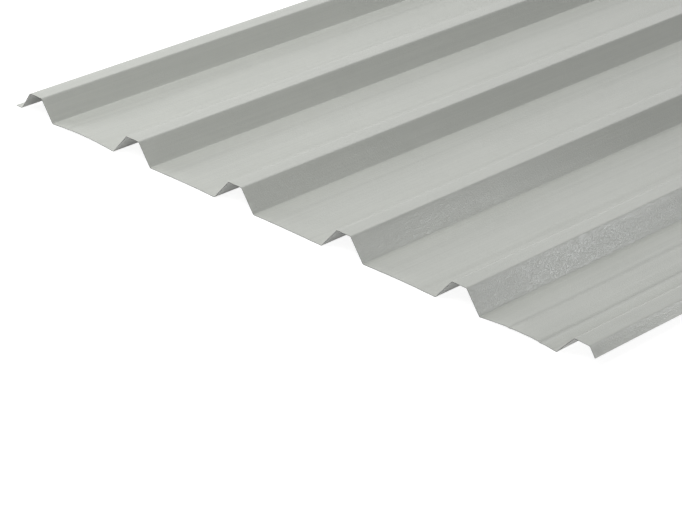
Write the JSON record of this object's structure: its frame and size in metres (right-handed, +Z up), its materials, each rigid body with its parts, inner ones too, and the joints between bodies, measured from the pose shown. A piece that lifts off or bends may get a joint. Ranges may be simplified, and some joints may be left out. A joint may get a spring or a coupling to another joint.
{
  "type": "corrugated metal sheet",
  "caption": "Roll-formed box-profile roofing and wall sheet: wide flat pans between narrow flat-topped ribs, with an underlap lip and an overlap edge for side laps.",
  "frame": {"origin": "on the floor under the middle of the sheet's outline", "axes": "+Z up out of the painted face, +Y along the ribs, +X across the ribs from the underlap lip to the overlap edge"},
  "size_m": [1.0636, 2.44, 0.0327],
  "materials": {
    "painted_steel": "satin, faint leather grain"
  },
  "bodies": {
    "root": {"corrugated_sheet": "painted_steel"}
  },
  "joints": []
}
